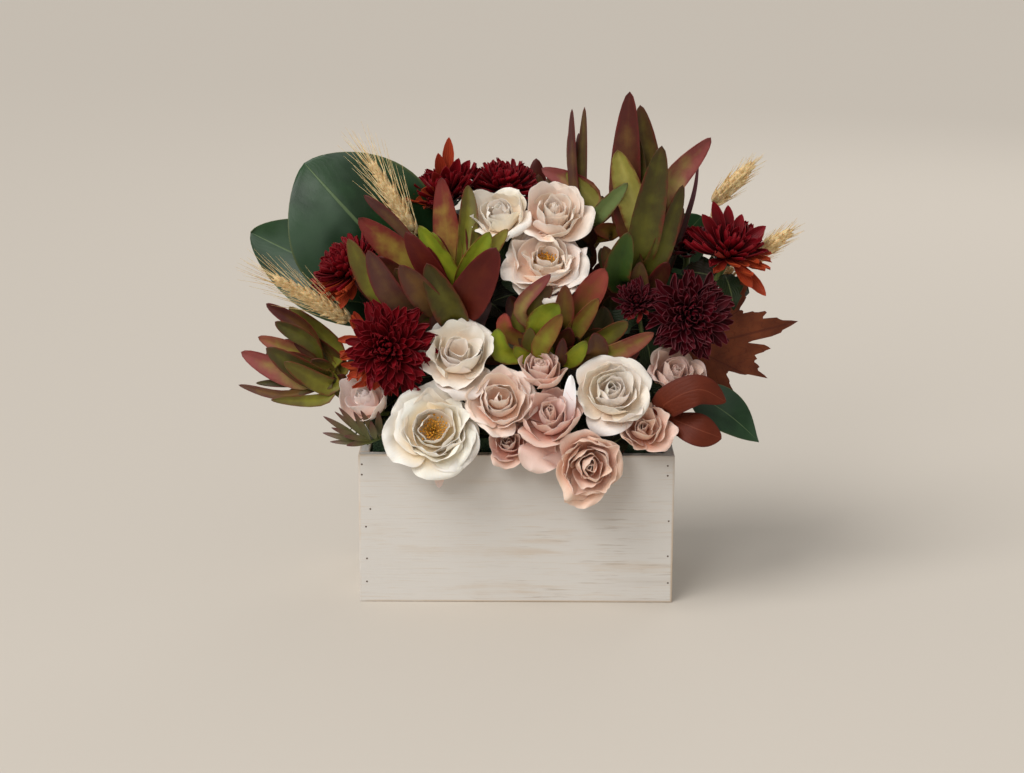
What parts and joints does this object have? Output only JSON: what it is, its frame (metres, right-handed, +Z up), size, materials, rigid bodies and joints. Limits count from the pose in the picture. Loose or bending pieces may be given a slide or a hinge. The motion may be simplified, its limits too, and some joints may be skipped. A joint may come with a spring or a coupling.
{
  "type": "floral table centerpiece",
  "caption": "Low rectangular whitewashed wooden box filled with foam-held roses, chrysanthemums, leafy heads, broad leaves and wheat ears, as a table centerpiece.",
  "frame": {"origin": "middle of the underside of the box, where it rests on the table", "axes": "+X to the right along the box, -Y out of the front that shows most blooms, +Z up"},
  "size_m": [0.4628, 0.2284, 0.417],
  "materials": {
    "whitewashed_wood": "whitewashed, faint grain, worn edges",
    "dark_liner": "thin waterproof tray",
    "wet_foam": "water-soaked floral foam",
    "green_stem": "fresh stem",
    "golden_stamen": "powdery",
    "petal_white": "soft, slightly translucent petal",
    "petal_cream": "soft petal",
    "petal_blush": "soft petal",
    "petal_mauve": "soft petal",
    "petal_peach": "soft petal",
    "petal_pale": "soft petal",
    "mum_burgundy": "satin rays",
    "mum_dark": "satin rays",
    "head_leaf": "leathery, red and olive",
    "glossy_leaf": "glossy dark green",
    "rust_leaf": "dry, veined",
    "copper_leaf": "leathery copper",
    "sprig_leaf": "fine narrow leaves",
    "wheat_straw": "dry straw",
    "grass_leaf": "thin blade"
  },
  "bodies": {
    "root": {"board-front": "whitewashed_wood", "board-back": "whitewashed_wood", "board-left": "whitewashed_wood", "board-right": "whitewashed_wood", "board-bottom": "whitewashed_wood", "liner-tray": "dark_liner", "floral-foam": "wet_foam", "rose-stems-left": "green_stem", "rose-stems-middle": "green_stem", "rose-stems-right": "green_stem", "rose-stems-top": "green_stem", "rose-stems-back": "green_stem", "mum-stems-left": "green_stem", "mum-stems-top": "green_stem", "mum-stems-right": "green_stem", "mum-stems-low-right": "green_stem", "mum-stem-back": "green_stem", "stamens-rose-white-open": "golden_stamen", "stamens-rose-open-top": "golden_stamen", "rose-white-open": "petal_white", "rose-blush-left": "petal_blush", "rose-blush-cup": "petal_blush", "rose-mauve-bud": "petal_mauve", "rose-mauve-low": "petal_mauve", "rose-cream-full": "petal_cream", "rose-peach-drooping": "petal_peach", "rose-taupe": "petal_peach", "rose-pale-right": "petal_pale", "rose-pale-left": "petal_pale", "rose-small-mauve": "petal_mauve", "rose-cream-top": "petal_cream", "rose-blush-top": "petal_blush", "rose-open-top": "petal_blush", "rose-cream-back": "petal_cream", "rose-blush-back": "petal_blush", "mum-left-front": "mum_burgundy", "mum-left-upper": "mum_burgundy", "mum-top-right": "mum_burgundy", "mum-top-left": "mum_burgundy", "mum-right-upper": "mum_burgundy", "mum-right-behind": "mum_dark", "mum-right-front": "mum_dark", "mum-half-open": "mum_dark", "mum-back": "mum_burgundy", "leafy-head-left": "head_leaf", "leafy-head-tall": "head_leaf", "leafy-head-upper-middle": "head_leaf", "leafy-head-low-left": "head_leaf", "leafy-head-centre": "head_leaf", "leafy-head-back": "head_leaf", "lobed-leaf": "rust_leaf", "broad-leaves-left": "glossy_leaf", "broad-leaf-right": "glossy_leaf", "broad-leaves-back": "glossy_leaf", "copper-leaves": "copper_leaf", "narrow-sprig": "sprig_leaf", "wheat-left-upper": "wheat_straw", "wheat-left-lower": "wheat_straw", "wheat-right": "wheat_straw", "grass-blade": "grass_leaf"}
  },
  "joints": []
}
